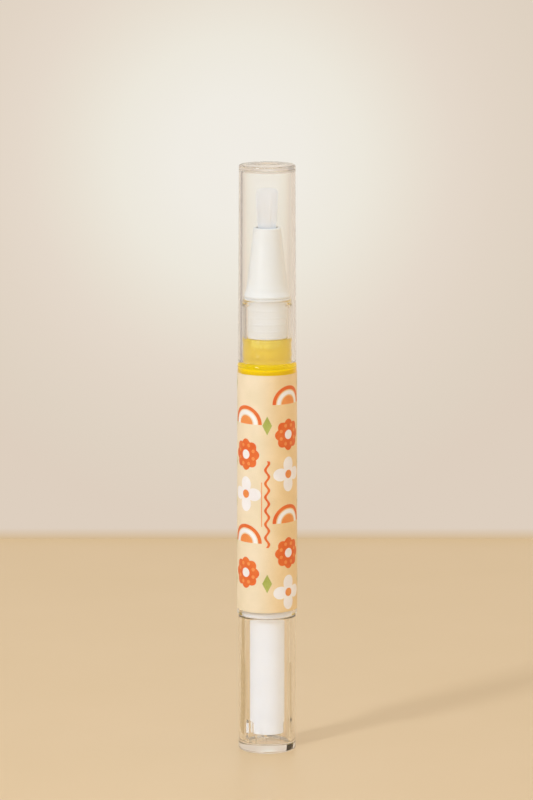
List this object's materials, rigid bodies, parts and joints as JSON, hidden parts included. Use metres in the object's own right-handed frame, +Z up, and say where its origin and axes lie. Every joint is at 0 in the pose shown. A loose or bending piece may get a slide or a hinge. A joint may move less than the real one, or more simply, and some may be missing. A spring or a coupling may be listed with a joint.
{
  "type": "nail oil pen",
  "caption": "Clear twist-up cosmetic oil pen with a brush under a frosted pull-off cap and a tail knob that drives a piston by a lead screw.",
  "frame": {"origin": "middle of the base of the tail knob, which the pen stands on", "axes": "+Z runs up the pen from tail to cap; -Y is the side that the picture shows"},
  "size_m": [0.0142, 0.0142, 0.1382],
  "materials": {
    "clear_knob": "polished clear moulding",
    "clear_barrel": "polished clear moulding",
    "yellow_oil": "clear liquid",
    "frosted_cap": "natural translucent moulding, satin",
    "white_acetal": "satin moulding",
    "white_polyethylene": "waxy natural moulding",
    "white_polypropylene": "smooth moulding",
    "nylon_bristle": "fine straight filaments",
    "printed_film": "printed film, satin varnish"
  },
  "bodies": {
    "barrel": {"barrel_tube": "clear_barrel", "label_wrap": "printed_film", "guide_nut": "white_acetal", "oil_fill": "yellow_oil", "neck_plug": "white_polyethylene", "nozzle": "white_polypropylene", "bristle_retainer": "white_acetal", "brush_bristles": "nylon_bristle", "feed_tube": "white_acetal"},
    "knob": {"knob_shell": "clear_knob", "drive_sleeve": "white_acetal", "ratchet_wheel": "white_acetal"},
    "piston": {"piston": "white_polyethylene"},
    "screw": {"lead_screw": "white_acetal"},
    "cap": {"cap_shell": "frosted_cap"}
  },
  "joints": [
    {"name": "cap_pull", "type": "slide", "parent": "barrel", "child": "cap", "axis": [0, 0, 1], "range_m": [0, 0.05]},
    {"name": "knob_twist", "type": "hinge", "parent": "barrel", "child": "knob", "pos_m": [0, 0, 0], "axis": [0, 0, 1], "range_deg": [0, 3960]},
    {"name": "piston_slide", "type": "slide", "parent": "barrel", "child": "piston", "axis": [0, 0, 1], "range_m": [0, 0.033], "deforming": ["oil_fill"]},
    {"name": "screw_slide", "type": "slide", "parent": "knob", "child": "screw", "axis": [0, 0, 1], "range_m": [0, 0.033]}
  ],
  "couplings": [
    {"joint": "piston_slide", "follows": "knob_twist", "m_per_rad": 0.00047746},
    {"joint": "screw_slide", "follows": "knob_twist", "m_per_rad": 0.00047746}
  ]
}
